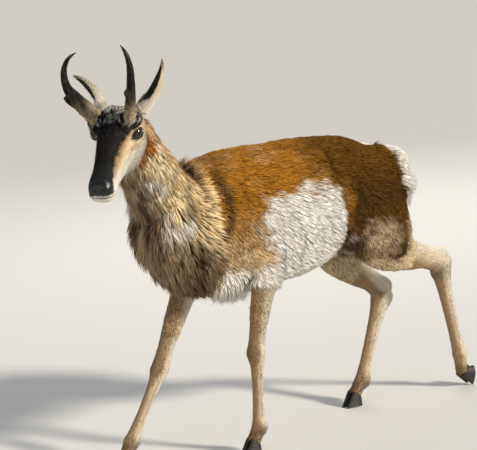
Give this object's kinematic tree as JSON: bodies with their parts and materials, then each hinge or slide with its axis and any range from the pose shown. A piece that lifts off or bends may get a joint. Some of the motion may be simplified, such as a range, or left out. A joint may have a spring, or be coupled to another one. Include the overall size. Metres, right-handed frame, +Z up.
{
  "type": "pronghorn",
  "caption": "Life-size still pronghorn buck walking, head turned to its left, with pronged horns, cloven hooves and a shaggy neck ruff.",
  "frame": {"origin": "middle of the standing animal's box at floor level", "axes": "-X is the way the animal faces, -Y its left side, +Z up"},
  "size_m": [1.4474, 0.4392, 1.2553],
  "materials": {
    "coat": "short dry fur, shaggy on the neck",
    "horn": "rough keratin, worn smooth at the tips",
    "hoof": "dusty keratin",
    "eye": "wet gloss"
  },
  "bodies": {
    "root": {"torso": "coat", "neck": "coat", "head": "coat", "tail": "coat", "ear_left": "coat", "ear_right": "coat", "eye_left": "eye", "horn_left": "horn", "foreleg_upper_left": "coat", "foreleg_lower_left": "coat", "thigh_left": "coat", "shank_left": "coat", "hindleg_lower_left": "coat", "hoof_fore_left_outer": "hoof", "hoof_fore_left_inner": "hoof", "hoof_hind_left_outer": "hoof", "hoof_hind_left_inner": "hoof", "eye_right": "eye", "horn_right": "horn", "foreleg_upper_right": "coat", "foreleg_lower_right": "coat", "thigh_right": "coat", "shank_right": "coat", "hindleg_lower_right": "coat", "hoof_fore_right_outer": "hoof", "hoof_fore_right_inner": "hoof", "hoof_hind_right_outer": "hoof", "hoof_hind_right_inner": "hoof"}
  },
  "joints": []
}
